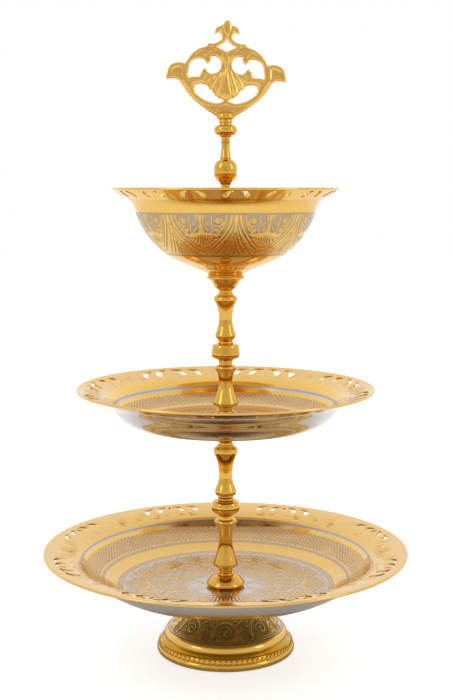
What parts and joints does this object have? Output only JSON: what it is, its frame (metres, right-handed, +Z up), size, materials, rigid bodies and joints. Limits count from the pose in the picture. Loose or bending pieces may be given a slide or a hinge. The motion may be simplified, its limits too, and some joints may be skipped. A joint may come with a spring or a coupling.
{
  "type": "tiered cake stand",
  "caption": "Footed cake stand: pierced and engraved round dishes and a small bowl threaded on a turned baluster column, under a screw-on finial with an openwork carrying handle.",
  "frame": {"origin": "centre of the foot's resting face", "axes": "+Z up along the column, -Y towards the front face of the handle, +X to the right seen from the front"},
  "size_m": [0.3, 0.3, 0.513],
  "materials": {
    "gilt": "polished gilt brass",
    "gilt_engraved": "polished gilt brass with engraved and plated silver-grey bands",
    "gilt_cast": "polished gilt casting",
    "plain_steel": "plain zinc-plated steel"
  },
  "bodies": {
    "stand": {"foot_shell": "gilt_engraved", "foot_base_ring": "gilt", "base_washer": "plain_steel", "base_nut": "plain_steel", "tie_rod": "plain_steel", "bottom_dish": "gilt_engraved", "lower_bell": "gilt", "lower_baluster": "gilt", "lower_collar": "gilt", "lower_vase": "gilt", "lower_cup": "gilt", "upper_bell": "gilt", "upper_baluster": "gilt", "upper_collar": "gilt", "upper_vase": "gilt", "upper_cup": "gilt"},
    "middle_tier": {"middle_dish": "gilt_engraved"},
    "top_tier": {"bowl": "gilt_engraved"},
    "thrust_washer": {"finial_washer": "gilt"},
    "finial": {"finial_stem": "gilt", "finial_ball": "gilt", "finial_neck": "gilt", "finial_collar": "gilt", "handle_casting": "gilt_cast"}
  },
  "joints": [
    {"name": "middle_dish_turn", "type": "hinge", "parent": "stand", "child": "middle_tier", "pos_m": [0, 0, 0.1887], "axis": [0, 0, 1], "continuous": true},
    {"name": "bowl_turn", "type": "hinge", "parent": "stand", "child": "top_tier", "pos_m": [0, 0, 0.313], "axis": [0, 0, 1], "continuous": true},
    {"name": "finial_turn", "type": "hinge", "parent": "stand", "child": "thrust_washer", "pos_m": [0, 0, 0.3148], "axis": [0, 0, 1], "range_deg": [0, 3600]},
    {"name": "finial_rise", "type": "slide", "parent": "thrust_washer", "child": "finial", "axis": [0, 0, 1], "range_m": [0, 0.01001]}
  ],
  "couplings": [
    {"joint": "finial_rise", "follows": "finial_turn", "m_per_rad": 0.00015915}
  ]
}
